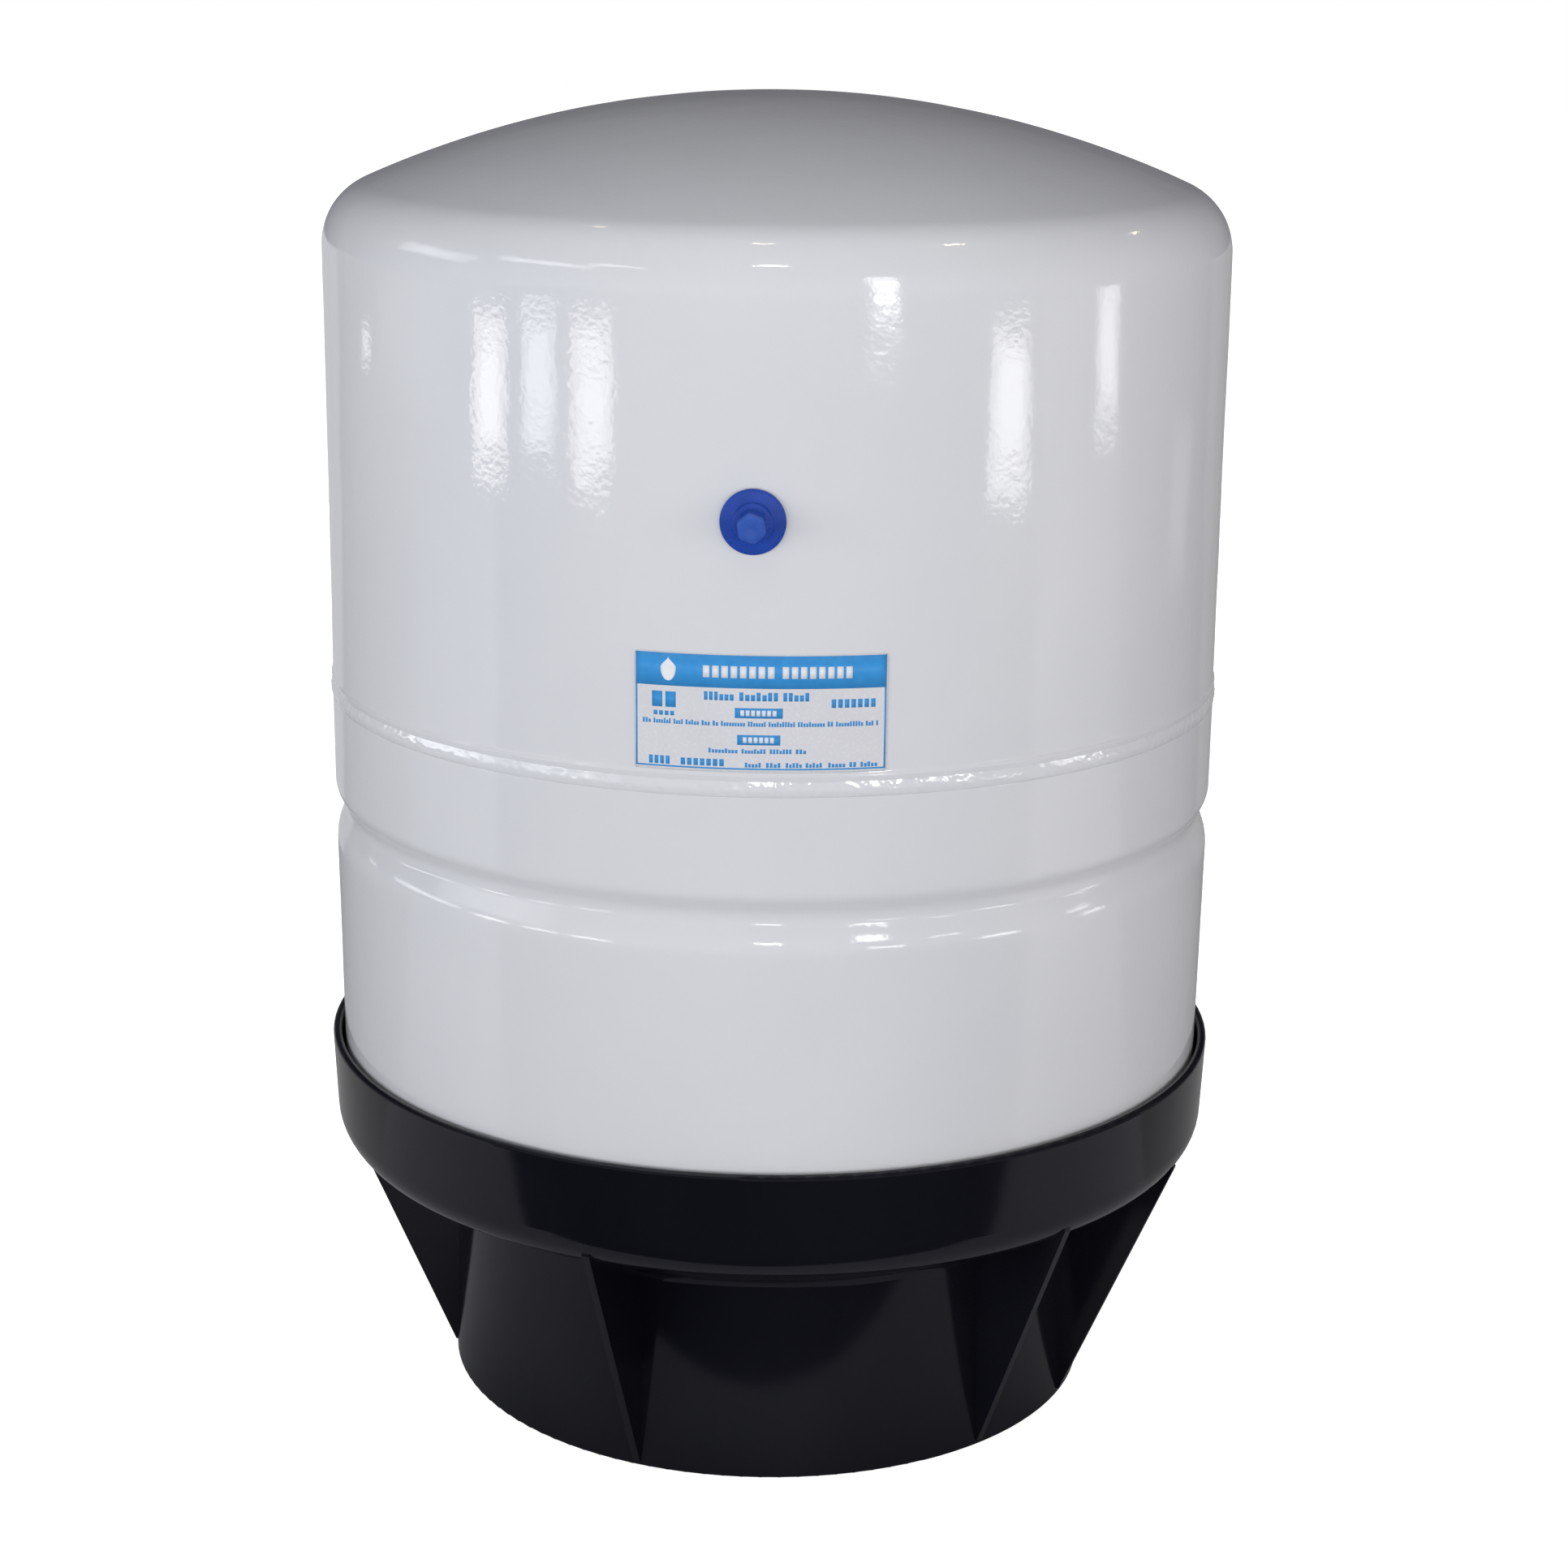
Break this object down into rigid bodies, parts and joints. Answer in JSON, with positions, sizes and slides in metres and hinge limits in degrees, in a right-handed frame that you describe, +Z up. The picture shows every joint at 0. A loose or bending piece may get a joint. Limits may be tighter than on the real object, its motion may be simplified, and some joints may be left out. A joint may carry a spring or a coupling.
{
  "type": "diaphragm water storage tank",
  "caption": "Pressurised diaphragm tank for water storage: two steel shells welded together, with an air valve on the side, on a moulded plastic stand.",
  "frame": {"origin": "on the tank's axis, on the floor that the stand rests on", "axes": "+Z up along the tank's axis, -Y towards the air valve and label, +Y towards the water pipe"},
  "size_m": [0.3638, 0.3776, 0.5263],
  "materials": {
    "white_enamel": "gloss with light orange peel",
    "black_plastic": "satin gloss moulding",
    "label_film": "printed film",
    "liner_plastic": "matt",
    "butyl_rubber": "matt",
    "zinc_steel": "zinc plated",
    "seal_rubber": "matt",
    "stainless_steel": "satin",
    "valve_brass": "turned",
    "core_sleeve": "smooth",
    "spring_steel": "drawn wire",
    "blue_plastic": "moulded"
  },
  "bodies": {
    "tank": {"upper_shell": "white_enamel", "lower_shell": "white_enamel", "seam_weld": "white_enamel", "base_stand": "black_plastic", "label": "label_film", "liner": "liner_plastic", "diaphragm": "butyl_rubber", "clench_ring": "zinc_steel", "nozzle_gasket": "seal_rubber", "water_nozzle": "stainless_steel", "port_washer": "seal_rubber", "lock_nut": "stainless_steel", "elbow": "stainless_steel", "elbow_gasket": "seal_rubber", "outlet_pipe": "stainless_steel", "valve_bush": "zinc_steel", "bush_weld": "zinc_steel", "valve_stem": "valve_brass", "stem_gasket": "seal_rubber", "core_barrel": "valve_brass", "core_gasket": "core_sleeve", "core_spring": "spring_steel"},
    "pin": {"core_pin": "valve_brass", "core_seal": "seal_rubber"},
    "seal": {"cap_seal": "seal_rubber"},
    "cap": {"valve_cap": "blue_plastic"}
  },
  "joints": [
    {"name": "pin_press", "type": "slide", "parent": "tank", "child": "pin", "axis": [0, 1, 0], "range_m": [0, 0.0012], "stiffness_N_per_m": 1200, "springref_m": -0.002, "deforming": ["core_spring"]},
    {"name": "cap_travel", "type": "slide", "parent": "tank", "child": "seal", "axis": [0, -1, 0], "range_m": [0, 0.00913]},
    {"name": "cap_unscrew", "type": "hinge", "parent": "seal", "child": "cap", "pos_m": [0, -0.178, 0.3905], "axis": [0, -1, 0], "range_deg": [0, 4140]}
  ],
  "couplings": [
    {"joint": "cap_unscrew", "follows": "cap_travel", "rad_per_m": 7913.3}
  ]
}
